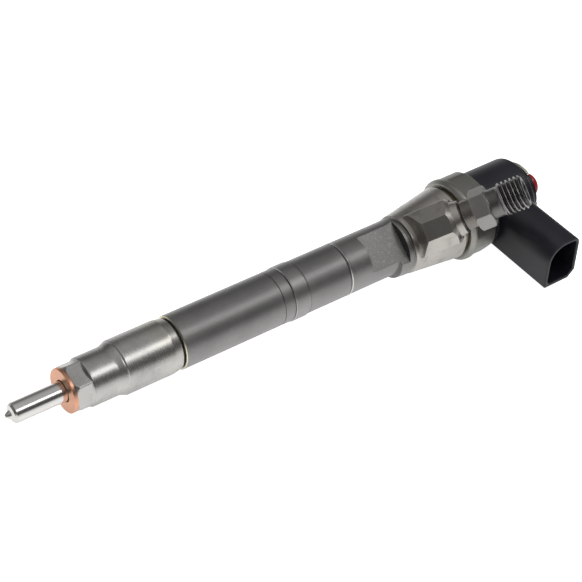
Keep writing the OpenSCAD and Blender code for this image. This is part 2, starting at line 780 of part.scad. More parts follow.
module solenoid_cap() {
    cr = core_d / 2;
    ro = cap_d / 2;
    sr = spout_d / 2;
    tr = turret_d / 2;
    x_top = x_core_end + 2;
    xg = x_cap_end + turret_len - 1.4;
    iw = sock_w - 2 * sock_wall;
    ih = sock_h - 2 * sock_wall;
    color(plastic) difference() {
        union() {
            turned([[0, x_sol_end], [ro - 0.3, x_sol_end], [ro, x_sol_end + 0.3],
                [ro, x_cap_end - 0.9], [ro - 0.3, x_cap_end - 0.3], [ro - 0.9, x_cap_end],
                [tr, x_cap_end], [tr, xg - wire_d / 2], [tr - 0.6, xg - wire_d / 2 + 0.1],
                [tr - 0.6, xg + wire_d / 2 - 0.1], [tr - 0.3, xg + wire_d / 2],
                [turret_top / 2, x_turret], [sr, x_turret], [sr, x_turret + spout_len],
                [0, x_turret + spout_len]]);
            towards_socket(0, reach)
                socket_outline(sock_w, sock_h, sock_arc, sock_round, 0.6, sock_cut);
        }
        rod(x_sol_end - 1, x_top + 0.1, cr + 1.75);
        rod(x_top, x_turret + spout_len + 1, 1.5);
        towards_socket(reach - sock_depth, reach + 1)
            socket_outline(iw, ih, sock_arc - sock_wall, sock_round - sock_wall, 2,
                sock_cut - 0.6);
        for (z = [-1, 1])
            translate([x_sol_end + 8.6 - blade_w / 2, -reach + sock_depth - 1,
                z * blade_pitch / 2 - blade_t / 2]) cube([blade_w, 6, blade_t]);
    }
}

module contact_blades() {
    root = 5;
    y_tip = reach - sock_depth + blade_len;
    color(brass) for (z = [-1, 1])
        translate([x_sol_end + 8.6, 0, z * blade_pitch / 2]) blade(y_tip, root);
}

// One flat blade along -Y with a bevelled tip
module blade(y_tip, root) {
    h = blade_w / 2;
    y0 = y_tip - blade_len - root;
    translate([0, 0, -blade_t / 2]) linear_extrude(blade_t)
        polygon([[-h, -y0], [h, -y0], [h, -y_tip + 0.8], [h - 0.8, -y_tip],
            [-h + 0.8, -y_tip], [-h, -y_tip + 0.8]]);
}

module return_clip() {
    tr = turret_d / 2;
    wr = wire_d / 2;
    rc = tr - 0.6 + wr;
    xg = x_cap_end + turret_len - 1.4;
    color(bright) at_az(clip_az - clip_open / 2) along_x(xg) rotate([0, 0, -90])
        rotate_extrude(angle = 360 - clip_open) translate([rc, 0]) circle(r = wr, $fn = 32);
}

module return_seal() {
    sr = spout_d / 2;
    x_end = x_turret + spout_len + seal_wall;
    color([0.62, 0.10, 0.10]) difference() {
        turned([[0, x_turret], [sr + seal_wall - 0.15, x_turret], [sr + seal_wall, x_turret + 0.2],
            [sr + seal_wall, x_end - 0.8], [sr + seal_wall - 0.8, x_end], [0, x_end]]);
        rod(x_turret - 1, x_turret + spout_len, sr);
    }
}

nozzle_body();
nozzle_needle();
spring_seat();
nozzle_spring();
spring_shim();
locating_pins();
sealing_washer();
nozzle_nut();
injector_body();
control_plunger();
valve_piece();
valve_seal();
valve_ball();
armature_guide();
valve_nut();
armature_pin();
armature_plate();
overtravel_spring();
solenoid_core();
solenoid_coil();
solenoid_spring();
spring_spacer();
lift_shim();
solenoid_housing();
housing_o_ring();
solenoid_nut();
inlet_fitting();
edge_filter();
solenoid_cap();
contact_blades();
return_clip();
return_seal();
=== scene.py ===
"""Looks of a solenoid common-rail fuel injector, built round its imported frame. All lengths are in metres."""

import json
import math

import bmesh
import bpy
import numpy as np
from mathutils import Matrix, Vector


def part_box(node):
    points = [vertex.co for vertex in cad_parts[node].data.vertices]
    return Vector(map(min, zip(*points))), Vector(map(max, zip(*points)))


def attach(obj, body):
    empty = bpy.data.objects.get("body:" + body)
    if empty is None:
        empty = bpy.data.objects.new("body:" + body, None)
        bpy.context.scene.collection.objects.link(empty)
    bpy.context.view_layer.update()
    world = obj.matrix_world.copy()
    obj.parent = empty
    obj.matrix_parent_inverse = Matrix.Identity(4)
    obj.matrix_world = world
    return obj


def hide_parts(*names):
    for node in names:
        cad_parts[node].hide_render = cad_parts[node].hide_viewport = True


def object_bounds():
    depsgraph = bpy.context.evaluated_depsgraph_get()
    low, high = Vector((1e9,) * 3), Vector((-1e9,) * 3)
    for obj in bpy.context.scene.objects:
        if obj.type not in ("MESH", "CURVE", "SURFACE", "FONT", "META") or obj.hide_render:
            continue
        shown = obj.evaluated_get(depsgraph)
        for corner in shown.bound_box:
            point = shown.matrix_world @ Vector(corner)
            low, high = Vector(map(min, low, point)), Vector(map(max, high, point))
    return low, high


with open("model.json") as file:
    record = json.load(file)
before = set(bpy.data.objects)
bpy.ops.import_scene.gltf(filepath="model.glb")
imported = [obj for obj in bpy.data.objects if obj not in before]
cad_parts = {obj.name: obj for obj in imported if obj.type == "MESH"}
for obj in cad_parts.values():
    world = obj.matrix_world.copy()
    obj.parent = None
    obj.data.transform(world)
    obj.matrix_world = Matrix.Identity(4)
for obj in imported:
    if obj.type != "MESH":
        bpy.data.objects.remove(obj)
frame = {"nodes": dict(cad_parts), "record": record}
cad_low, cad_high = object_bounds()
scene = bpy.context.scene

MM = 0.001
FLOOR_GAP = 0.2 * MM            # keeps the floor clear of the lowest piece
FLOOR_HALF = 4.0                # the floor reaches this far each way
CAMERA_PLACE = (-0.22706, -0.39483, 0.44319)
CAMERA_RIGHT = (0.80671, -0.58869, 0.05151)
CAMERA_UP = (0.35790, 0.55608, 0.75013)


# ---------------------------------------------------------------- camera and studio

def place_camera():
    """A long lens above the nozzle end, looking down along the injector, rolled a little."""
    cam = bpy.data.cameras.new("camera")
    cam.sensor_width = 36
    cam.lens = 123.7
    cam.clip_start = 0.05
    cam.clip_end = 20
    obj = bpy.data.objects.new("camera", cam)
    scene.collection.objects.link(obj)
    right = Vector(CAMERA_RIGHT).normalized()
    up = Vector(CAMERA_UP).normalized()
    back = right.cross(up).normalized()
    up = back.cross(right)
    turn = Matrix((right, up, back)).transposed().to_4x4()
    obj.matrix_world = Matrix.Translation(CAMERA_PLACE) @ turn
    scene.camera = obj


def direction(azimuth, elevation):
    """Unit vector at an azimuth turned from -Y towards +X and an elevation above the horizon, in degrees."""
    a, e = math.radians(azimuth), math.radians(elevation)
    return Vector((math.sin(a) * math.cos(e), -math.cos(a) * math.cos(e), math.sin(e)))


def area_light(name, azimuth, elevation, distance, width, height, radiance):
    """Flat light aimed at the middle of the injector; its power follows from radiance times pi times area."""
    light = bpy.data.lights.new(name, "AREA")
    light.shape = "RECTANGLE"
    light.size = width
    light.size_y = height
    light.energy = radiance * math.pi * width * height
    obj = bpy.data.objects.new(name, light)
    scene.collection.objects.link(obj)
    out = direction(azimuth, elevation)
    obj.location = (cad_low + cad_high) / 2 + out * distance
    obj.rotation_mode = "QUATERNION"
    obj.rotation_quaternion = out.to_track_quat("Z", "Y")
    return obj


def put(tree, kind, values=None, **settings):
    """Adds a shader node; each value is a number, a tuple or another node's output to link."""
    made = tree.nodes.new(kind)
    for key, value in settings.items():
        setattr(made, key, value)
    for key, value in (values or {}).items():
        if isinstance(value, bpy.types.NodeSocket):
            tree.links.new(value, made.inputs[key])
        else:
            made.inputs[key].default_value = value
    return made


def build_world():
    """Room dim at eye level and lighter overhead, a pale wall low on the far side, and white behind it."""
    world = bpy.data.worlds.new("studio")
    scene.world = world
    world.use_nodes = True
    tree = world.node_tree
    tree.nodes.clear()
    coord = put(tree, "ShaderNodeTexCoord")
    split = put(tree, "ShaderNodeSeparateXYZ", {0: coord.outputs["Generated"]})
    ramp = put(tree, "ShaderNodeValToRGB", {0: split.outputs["Z"]})
    far = put(tree, "ShaderNodeMapRange",
              {"Value": split.outputs["Y"], "From Min": 0.2, "From Max": 0.8, "To Max": 0.30})
    low = put(tree, "ShaderNodeMapRange", {"Value": split.outputs["Z"], "From Min": 0.05, "From Max": 0.45,
                                           "To Min": 1.0, "To Max": 0.1})
    card = put(tree, "ShaderNodeMath", {0: far.outputs[0], 1: low.outputs[0]}, operation="MULTIPLY")
    level = put(tree, "ShaderNodeVectorMath", {0: ramp.outputs[0], 1: card.outputs[0]}, operation="ADD")
    room = put(tree, "ShaderNodeBackground", {"Color": level.outputs[0]})
    white = put(tree, "ShaderNodeBackground", {"Color": (1, 1, 1, 1)})
    path = put(tree, "ShaderNodeLightPath")
    mix = put(tree, "ShaderNodeMixShader",
              {0: path.outputs["Is Camera Ray"], 1: room.outputs[0], 2: white.outputs[0]})
    put(tree, "ShaderNodeOutputWorld", {"Surface": mix.outputs[0]})
    bands = [(0.0, 0.42), (0.12, 0.17), (0.30, 0.055), (0.48, 0.10), (0.70, 0.26), (0.88, 0.42), (1.0, 0.50)]
    ramp.color_ramp.interpolation = "EASE"
    for k, (height, level) in enumerate(bands):
        stop = ramp.color_ramp.elements[k] if k < 2 else ramp.color_ramp.elements.new(height)
        stop.position = height
        stop.color = (level, level, level, 1)


def build_floor():
    """Pale floor just under the lowest point, self-lit to hide its shadows and dimmer away from the part."""
    half = FLOOR_HALF
    z = cad_low.z - FLOOR_GAP
    mesh = bpy.data.meshes.new("floor")
    corners = [(-half, -half, z), (half, -half, z), (half, half, z), (-half, half, z)]
    mesh.from_pydata(corners, [], [(0, 1, 2, 3)])
    obj = bpy.data.objects.new("floor", mesh)
    scene.collection.objects.link(obj)
    mat = bpy.data.materials.new("pale_floor")
    mat.use_nodes = True
    tree = mat.node_tree
    bsdf = tree.nodes["Principled BSDF"]
    bsdf.inputs["Base Color"].default_value = (0.86, 0.86, 0.86, 1)
    bsdf.inputs["Roughness"].default_value = 0.9
    bsdf.inputs["Specular IOR Level"].default_value = 0.0
    bsdf.inputs["Emission Color"].default_value = (1, 1, 1, 1)
    coord = put(tree, "ShaderNodeTexCoord")
    split = put(tree, "ShaderNodeSeparateXYZ", {0: coord.outputs["Object"]})
    away = put(tree, "ShaderNodeMath", {0: split.outputs["Y"]}, operation="ABSOLUTE")
    near = put(tree, "ShaderNodeMapRange", {"Value": away.outputs[0], "From Min": 0.02, "From Max": 0.14,
                                            "To Min": 0.33, "To Max": 0.0})
    path = put(tree, "ShaderNodeLightPath")
    glow = put(tree, "ShaderNodeMix", {0: path.outputs["Is Camera Ray"], 2: near.outputs[0], 3: 1.0})
    tree.links.new(glow.outputs[0], bsdf.inputs["Emission Strength"])
    mesh.materials.append(mat)


def light_studio():
    """A long softbox at the front, seen in the metal, and a wide overhead light seen by matt surfaces."""
    area_light("softbox", 42, 55, 0.85, 0.75, 0.24, 1.9)
    top = area_light("overhead", 0, 88, 1.3, 1.6, 1.6, 1.5)
    top.visible_glossy = False


scene.view_settings.view_transform = "Standard"
place_camera()
build_world()
build_floor()
light_studio()


# ---------------------------------------------------------------- stations, from the frame and the record

SLOTS = {row["node"]: row["material_slot"] for row in frame["record"]["subparts"]}
MOUNTS = {row["name"]: row for row in frame["record"]["mounts"]}


def span(node):
    """Lowest and highest X of a node."""
    low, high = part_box(node)
    return low[0], high[0]


x_nut, x_nut_end = span("nozzle_nut")
x_washer, x_washer_end = span("sealing_washer")
x_sol, x_sol_end = span("solenoid_nut")
x_seal, x_seal_end = span("return_seal")
x_clip, x_clip_end = span("return_clip")
x_coil, x_coil_end = span("solenoid_coil")
x_spout = span("solenoid_cap")[1]
x_turret = x_seal
clip_x = (x_clip + x_clip_end) / 2
wire_r = (x_clip_end - x_clip) / 2

stem_r = MOUNTS["nozzle_stem"]["dims"]["r_mm"] * MM
body_r = MOUNTS["body_shank"]["dims"]["r_mm"] * MM
thread_r = MOUNTS["inlet_thread"]["dims"]["r_mm"] * MM
flat = MOUNTS["clamp_flat_front"]
flat_out = Vector(flat["axis"])
flat_h = Vector((0, flat["pos_m"][1], flat["pos_m"][2])).length
flat_x0 = flat["pos_m"][0] - 7.6 * MM
flat_x1 = flat["pos_m"][0] + 7.6 * MM
x_head = x_sol - 0.9 * MM
x_shank = x_nut_end + 0.8 * MM

# The inlet's own axis crosses the injector axis; stations along it count from that crossing
inlet_along = Vector(MOUNTS["inlet_thread"]["axis"]).normalized()
inlet_mid = MOUNTS["inlet_thread"]["pos_m"][1] / inlet_along.y
inlet_x = MOUNTS["inlet_thread"]["pos_m"][0] - inlet_along.x * inlet_mid
thread_len = 8.6 * MM
inlet_end = inlet_mid + (thread_len + 1 * MM) / 2
inlet_thread = inlet_end - thread_len
inlet_hex_end = inlet_thread - 4.3 * MM
inlet_hex = inlet_hex_end - 5.9 * MM
inlet_nose = inlet_hex - 4.6 * MM
inlet_screw = inlet_hex - 14.6 * MM

INJECTOR = (Vector((0, 0, 0)), Vector((1, 0, 0)), Vector((0, -1, 0)), Vector((0, 0, 1)))
inlet_up = Vector((0, inlet_along.z, -inlet_along.y)).normalized()
INLET = (Vector((inlet_x, 0, 0)), inlet_along, inlet_up.cross(inlet_along).normalized(), inlet_up)
if INLET[2].z < 0:
    INLET = (INLET[0], INLET[1], -INLET[2], INLET[3])


# ---------------------------------------------------------------- surfaces

def turn_angles(count):
    """Equal angles once round, the last one short of the first."""
    return np.arange(count) * (2 * math.pi / count)


def place(axes, along, radius, angle):
    """Points in space: origin + axis * along + radius * (side * cos(angle) + up * sin(angle))."""
    origin, axis, side, up = [np.array(v) for v in axes]
    along, radius, angle = [np.asarray(v)[..., None] for v in (along, radius, angle)]
    return origin + axis * along + radius * (side * np.cos(angle) + up * np.sin(angle))


def rounded(points, radius, steps=5, ring=True):
    """Outline with each corner c made the curve (1-t)^2 a + 2t(1-t) c + t^2 b, a and b a radius away."""
    c = np.array(points, float)
    before = np.roll(c, 1, axis=0) - c
    after = np.roll(c, -1, axis=0) - c
    len0 = np.linalg.norm(before, axis=1, keepdims=True)
    len1 = np.linalg.norm(after, axis=1, keepdims=True)
    r = np.broadcast_to(np.asarray(radius, float).reshape(-1, 1), (len(c), 1))
    a = c + before / len0 * np.minimum(r, 0.45 * len0)
    b = c + after / len1 * np.minimum(r, 0.45 * len1)
    if not ring:
        a[[0, -1]] = c[[0, -1]]
        b[[0, -1]] = c[[0, -1]]
    t = np.linspace(0, 1, steps)[None, :, None]
    curve = (1 - t) ** 2 * a[:, None] + 2 * t * (1 - t) * c[:, None] + t ** 2 * b[:, None]
    curve = curve.reshape(-1, 2)
    if not ring:
        curve = curve[steps - 1:len(curve) - steps + 1]
    return curve


def refined(outline, step, ring=True):
    """The same outline with extra points, so that no stretch between two points is much over a step long."""
    p = np.vstack([outline, outline[:1]]) if ring else np.asarray(outline)
    s = np.concatenate([[0], np.cumsum(np.linalg.norm(np.diff(p, axis=0), axis=1))])
    even = np.arange(0, s[-1], step)
    gap = np.abs(even[:, None] - s[None]).min(axis=1)
    stations = np.sort(np.concatenate([s, even[gap > step * 0.3]]))
    stations = stations[np.concatenate([[True], np.diff(stations) > 2e-6])]
    if ring:
        stations = stations[stations < s[-1] - 2e-6]
    return np.stack([np.interp(stations, s, p[:, k]) for k in (0, 1)], axis=1)


def prism_radius(angle, sides, across, corner, fillet):
    """Radius of a regular prism: flat distance over the cosine from its middle, a fillet at each corner."""
    half = math.pi / sides
    off = np.abs((angle - corner + half) % (2 * half) - half)
    flat_r = across / 2 / np.cos(half - off)
    centre = (across / 2 - fillet) / math.cos(half)
    arc = centre * np.cos(off) + np.sqrt(np.maximum(fillet ** 2 - (centre * np.sin(off)) ** 2, 0))
    tangent = half - math.atan2(centre * math.sin(half), across / 2)
    return np.where(off < tangent, arc, flat_r)


def soft_min(a, b, blend):
    """Smaller of two radii with the edge between them rounded: -k log(exp(-a/k) + exp(-b/k))."""
    return -blend * np.logaddexp(-a / blend, -b / blend)


def grid_faces(rows, cols, ring):
    """Quads of a grid whose columns go once round and whose rows join end to start on a ring."""
    i = np.arange(rows if ring else rows - 1)[:, None]
    j = np.arange(cols)[None, :]
    near, far = i * cols, (i + 1) % rows * cols
    right = (j + 1) % cols
    return np.stack([near + j, far + j, far + right, near + right], axis=-1).reshape(-1, 4)


def make_piece(name, node, grids, material, smooth=32):
    """One mesh from grids (points, ring): poles merged, faces outwards, edges over an angle kept crisp."""
    points, faces, start = [], [], 0
    for grid, ring in grids:
        rows, cols = grid.shape[:2]
        points.append(grid.reshape(-1, 3))
        faces.append(grid_faces(rows, cols, ring) + start)
        start += rows * cols
    mesh = bpy.data.meshes.new(name)
    mesh.from_pydata(np.vstack(points).tolist(), [], np.vstack(faces).tolist())
    bm = bmesh.new()
    bm.from_mesh(mesh)
    bmesh.ops.remove_doubles(bm, verts=bm.verts, dist=1e-6)
    bmesh.ops.recalc_face_normals(bm, faces=bm.faces)
    bm.to_mesh(mesh)
    bm.free()
    mesh.polygons.foreach_set("use_smooth", np.ones(len(mesh.polygons), bool))
    mesh.set_sharp_from_angle(angle=math.radians(smooth))
    mesh.materials.append(material)
    obj = bpy.data.objects.new(name, mesh)
    scene.collection.objects.link(obj)
    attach(obj, "housing")
    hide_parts(node)
    return obj


def turned_grid(axes, outline, count=192):
    """Surface of revolution of an outline of (station, radius) pairs about an axis."""
    angle = turn_angles(count)
    return place(axes, outline[:, :1] + 0 * angle, outline[:, 1:] + 0 * angle, 0 * outline[:, :1] + angle)


def mm(points):
    """Pairs given in millimetres, in metres."""
    return np.array(points, float) * MM


# ---------------------------------------------------------------- finishes

def stepped(tree, value, low, high):
    """0 below low, 1 above high, smooth between."""
    made = put(tree, "ShaderNodeMapRange", {"Value": value, "From Min": low, "From Max": high},
               interpolation_type="SMOOTHSTEP")
    return made.outputs[0]


def calc(tree, operation, a, b=0.0, clamp=False):
    """One sum on two values."""
    return put(tree, "ShaderNodeMath", {0: a, 1: b}, operation=operation, use_clamp=clamp).outputs[0]


def between(tree, value, low, high, soft):
    """1 where low < value < high, with soft ends."""
    up = stepped(tree, value, low - soft, low + soft)
    down = stepped(tree, value, high - soft, high + soft)
    return calc(tree, "SUBTRACT", up, down, clamp=True)


def blend(tree, factor, a, b):
    """Colour a turning into colour b."""
    made = put(tree, "ShaderNodeMix", {0: factor, 6: a, 7: b}, data_type="RGBA")
    return made.outputs[2]


def along_axis(tree, position, axis, shift=0.0):
    """Distance of a point along a direction, less a shift."""
    dot = put(tree, "ShaderNodeVectorMath", {0: position, 1: tuple(axis)}, operation="DOT_PRODUCT")
    return calc(tree, "SUBTRACT", dot.outputs["Value"], shift)


def noise(tree, vector, scale, detail=3.0, rough=0.55):
    """Soft random field, about half on average."""
    made = put(tree, "ShaderNodeTexNoise",
               {"Vector": vector, "Scale": scale, "Detail": detail, "Roughness": rough})
    return made.outputs[0]


def axis_distance(tree, position):
    """Distance from the injector axis."""
    flat_pos = put(tree, "ShaderNodeVectorMath", {0: position, 1: (0, 1, 1)}, operation="MULTIPLY").outputs[0]
    return put(tree, "ShaderNodeVectorMath", {0: flat_pos}, operation="LENGTH").outputs["Value"]


def finish_base(name):
    """New material with its tree, its shader and the object's own coordinates."""
    mat = bpy.data.materials.new(name)
    mat.use_nodes = True
    tree = mat.node_tree
    coord = put(tree, "ShaderNodeTexCoord").outputs["Object"]
    return mat, tree, tree.nodes["Principled BSDF"], coord


def rgba(colour, gain=1.0):
    """Colour with its brightness scaled."""
    return (*[min(c * gain, 1.0) for c in colour], 1)


def rounded_edge_mask(tree, reach, start, full):
    """Normal rounded over within reach of an edge, and a mask of how far it turns away from the true one."""
    soft_edge = put(tree, "ShaderNodeBevel", {"Radius": reach}, samples=4).outputs[0]
    true_normal = put(tree, "ShaderNodeNewGeometry").outputs["Normal"]
    facing = put(tree, "ShaderNodeVectorMath", {0: soft_edge, 1: true_normal},
                 operation="DOT_PRODUCT").outputs["Value"]
    return soft_edge, stepped(tree, calc(tree, "SUBTRACT", 1.0, facing), start, full)


def steel(name, colour, roughness, axis=(1, 0, 0), lines=3200, cut=0.8e-6, grain=0.5e-6, cloud=0.10,
          scratches=0.5, wear_and_highlight=0.35, pits=0.0, film=0.0, zones=None):
    """Machined metal: lathe lines round the axis, faint clouds, fine grain, lengthwise scratches, edges
    lightened partly as wear and partly as painted highlight, and dark pits, under a film of oil where asked.
    Zones are (mask, colour, roughness) of special places."""
    mat, tree, shader, coord = finish_base(name)
    wobble = calc(tree, "MULTIPLY", noise(tree, coord, 180, 2), 0.00012)
    station = calc(tree, "ADD", along_axis(tree, coord, axis), wobble)
    rings = put(tree, "ShaderNodeTexNoise", {"W": station, "Scale": lines, "Detail": 5.0, "Roughness": 0.7},
                noise_dimensions="1D").outputs[0]
    clouds = noise(tree, coord, 75, 4)
    fine = noise(tree, coord, 2600, 3, 0.7)
    stretch = put(tree, "ShaderNodeMapping", {"Vector": coord, "Scale": (90, 2200, 2200)}).outputs[0]
    lines_mask = stepped(tree, noise(tree, stretch, 1.0, 2, 0.5), 0.665, 0.72)
    scratch = calc(tree, "MULTIPLY", lines_mask, scratches)
    soft_edge, turned = rounded_edge_mask(tree, 0.22 * MM, 0.004, 0.06)
    edge = calc(tree, "MULTIPLY", turned, wear_and_highlight)
    base = blend(tree, stepped(tree, clouds, 0.35, 0.65), rgba(colour, 1 - cloud), rgba(colour, 1 + cloud))
    base = blend(tree, calc(tree, "MULTIPLY", stepped(tree, fine, 0.3, 0.7), 0.25), base, rgba(colour, 0.78))
    rough = calc(tree, "ADD", roughness - 0.05, calc(tree, "MULTIPLY", clouds, 0.10))
    rough = calc(tree, "ADD", rough, calc(tree, "MULTIPLY", calc(tree, "SUBTRACT", rings, 0.5), 0.12))
    for mask, zone_colour, zone_rough in (zones(tree, coord) if zones else []):
        shade = calc(tree, "ADD", 0.72, calc(tree, "MULTIPLY", clouds, 0.56))
        tinted = put(tree, "ShaderNodeMix", {0: 1.0, 6: rgba(zone_colour), 7: shade}, data_type="RGBA",
                     blend_type="MULTIPLY").outputs[2]
        base = blend(tree, mask, base, tinted)
        rough = put(tree, "ShaderNodeMix", {0: mask, 2: rough, 3: zone_rough}).outputs[0]
    if pits:
        cells = put(tree, "ShaderNodeTexVoronoi", {"Vector": coord, "Scale": 900.0}).outputs["Distance"]
        holes = calc(tree, "MULTIPLY", calc(tree, "SUBTRACT", 1.0, stepped(tree, cells, 0.10, 0.22)), pits)
        holes = calc(tree, "MULTIPLY", holes, stepped(tree, clouds, 0.45, 0.62))
        base = blend(tree, holes, base, rgba(colour, 0.25))
    base = blend(tree, scratch, base, rgba(colour, 1.35))
    # Edges lightened: partly real wear, partly painted highlight where edges catch the light.
    base = blend(tree, edge, base, rgba(colour, 1.9))
    rough = calc(tree, "SUBTRACT", rough, calc(tree, "MULTIPLY", edge, 0.10), clamp=True)
    height = calc(tree, "ADD", calc(tree, "MULTIPLY", rings, cut), calc(tree, "MULTIPLY", fine, grain))
    height = calc(tree, "SUBTRACT", height, calc(tree, "MULTIPLY", scratch, 0.8e-6))
    bump = put(tree, "ShaderNodeBump",
               {"Strength": 1.0, "Distance": 1.0, "Height": height, "Normal": soft_edge})
    shader.inputs["Metallic"].default_value = 1.0
    shader.inputs["Coat Weight"].default_value = film
    shader.inputs["Coat Roughness"].default_value = 0.25
    tree.links.new(base, shader.inputs["Base Color"])
    tree.links.new(rough, shader.inputs["Roughness"])
    tree.links.new(bump.outputs[0], shader.inputs["Normal"])
    return mat


def moulded(name, colour, roughness, texture=3.0e-6, sheen_scale=55, zones=None):
    """Moulded plastic or rubber: fine spark-eroded texture, faint clouds in the gloss, paler edges that are
    partly rubbed wear and partly painted highlight.
    """
    mat, tree, shader, coord = finish_base(name)
    clouds = noise(tree, coord, sheen_scale, 3)
    fine = noise(tree, coord, 3000, 3, 0.6)
    soft_edge, turned = rounded_edge_mask(tree, 0.2 * MM, 0.01, 0.12)
    edge = calc(tree, "MULTIPLY", turned, 0.35)
    base = blend(tree, stepped(tree, clouds, 0.35, 0.65), rgba(colour, 0.85), rgba(colour, 1.2))
    # Paler edges: partly rubbed wear, partly painted highlight.
    base = blend(tree, edge, base, rgba([c + 0.06 for c in colour]))
    rough = calc(tree, "ADD", roughness - 0.06, calc(tree, "MULTIPLY", clouds, 0.12))
    for mask, zone_colour, zone_rough in (zones(tree, coord) if zones else []):
        base = blend(tree, mask, base, rgba(zone_colour))
        rough = put(tree, "ShaderNodeMix", {0: mask, 2: rough, 3: zone_rough}).outputs[0]
    height = calc(tree, "MULTIPLY", fine, texture)
    bump = put(tree, "ShaderNodeBump",
               {"Strength": 1.0, "Distance": 1.0, "Height": height, "Normal": soft_edge})
    tree.links.new(base, shader.inputs["Base Color"])
    tree.links.new(rough, shader.inputs["Roughness"])
    tree.links.new(bump.outputs[0], shader.inputs["Normal"])
    return mat


def body_zones(tree, coord):
    """Grooves with the collar groove painted dark as shade, painted highlights on the ring step and the
    collar's edge, the raised ring, matt milled flats whose rear end wall is painted dark as shade, a painted
    shade line in the groove behind the flats, and the warm, darker head.
    """
    x = along_axis(tree, coord, (1, 0, 0))
    radius = axis_distance(tree, coord)
    height = calc(tree, "ABSOLUTE", along_axis(tree, coord, flat_out))
    on_shank = between(tree, x, x_nut_end + 1.5 * MM, flat_x0, 0.02 * MM)
    groove = calc(tree, "MULTIPLY", on_shank, calc(tree, "SUBTRACT", 1.0, stepped(
        tree, radius, body_r - 0.25 * MM, body_r - 0.08 * MM)))
    ring = calc(tree, "MULTIPLY", on_shank, stepped(tree, radius, body_r + 0.15 * MM, body_r + 0.25 * MM))
    # Painted highlight: pale colour and low roughness on the ring step chamfers, where the softbox glints.
    step = between(tree, radius, body_r + 0.03 * MM, body_r + 0.24 * MM, 0.02 * MM)
    painted_step_highlight = calc(tree, "MULTIPLY", step,
                    between(tree, x, x_nut_end + 30 * MM, flat_x0 - 11 * MM, 0.1 * MM))
    # Painted highlight: a pale thin band on the collar groove's rising edge.
    lip = between(tree, x, flat_x0 - 8.72 * MM, flat_x0 - 8.42 * MM, 0.05 * MM)
    rim = calc(tree, "MULTIPLY", between(tree, x, x_nut_end + 0.4 * MM, x_shank + 0.28 * MM, 0.05 * MM),
               stepped(tree, radius, body_r - 0.8 * MM, body_r - 0.6 * MM))
    beside = between(tree, x, flat_x0 + 0.05 * MM, flat_x1 - 0.05 * MM, 0.03 * MM)
    on_flat = calc(tree, "MULTIPLY", beside,
                   between(tree, height, flat_h - 0.06 * MM, flat_h + 0.06 * MM, 0.02 * MM))
    # Painted shade: the rear end wall of the flats is coloured near black.
    painted_end_wall_shade = calc(tree, "MULTIPLY", between(tree, x, flat_x1 - 0.05 * MM, flat_x1 + 0.05 * MM, 0.01 * MM),
                    stepped(tree, height, flat_h, flat_h + 0.1 * MM))
    head = stepped(tree, x, flat_x1 + 1.0 * MM, flat_x1 + 1.6 * MM)
    # Painted shade: a dark band on the groove line just behind the flats.
    neck = between(tree, x, flat_x1 + 1.2 * MM, flat_x1 + 2.4 * MM, 0.12 * MM)
    neck = calc(tree, "MULTIPLY", neck, 0.75)
    fine = stepped(tree, noise(tree, coord, 1400, 4, 0.65), 0.48, 0.72)
    specks = calc(tree, "MULTIPLY", on_flat, fine)
    thin = calc(tree, "MULTIPLY", groove, calc(tree, "SUBTRACT", 1.0, stepped(
        tree, x, flat_x0 - 11 * MM, flat_x0 - 10 * MM)))
    # Painted shade: the collar groove is coloured near black; the thin grooves keep a plain tone.
    collar = calc(tree, "MULTIPLY", groove, stepped(tree, x, flat_x0 - 11 * MM, flat_x0 - 10 * MM))
    rear = stepped(tree, x, x_head - 0.3 * MM, x_head + 0.1 * MM)
    grime = stepped(tree, noise(tree, coord, 170, 4, 0.6), 0.52, 0.70)
    grime = calc(tree, "MULTIPLY", calc(tree, "MULTIPLY", head, grime), 0.55)
    return [(thin, (0.30, 0.29, 0.28), 0.38), (collar, (0.09, 0.085, 0.08), 0.5),
            (ring, (0.29, 0.285, 0.28), 0.42),
            (painted_step_highlight, (0.62, 0.61, 0.60), 0.26), (lip, (0.70, 0.69, 0.67), 0.26),
            (rim, (0.80, 0.72, 0.52), 0.25),
            (head, (0.50, 0.475, 0.44), 0.28), (neck, (0.12, 0.11, 0.10), 0.45),
            (on_flat, (0.35, 0.345, 0.335), 0.60), (specks, (0.46, 0.455, 0.445), 0.50),
            (grime, (0.27, 0.25, 0.225), 0.42), (painted_end_wall_shade, (0.04, 0.038, 0.036), 0.5),
            (rear, (0.30, 0.24, 0.15), 0.45)]


def nut_zones(tree, coord):
    """Straw heat tint towards the nozzle nut's rear edge."""
    x = along_axis(tree, coord, (1, 0, 0))
    warm = between(tree, x, x_nut_end - 9 * MM, x_nut_end + 1 * MM, 2.5 * MM)
    patch = stepped(tree, noise(tree, coord, 60, 3), 0.3, 0.7)
    return [(calc(tree, "MULTIPLY", warm, calc(tree, "MULTIPLY", patch, 0.5)), (0.56, 0.53, 0.45), 0.26)]


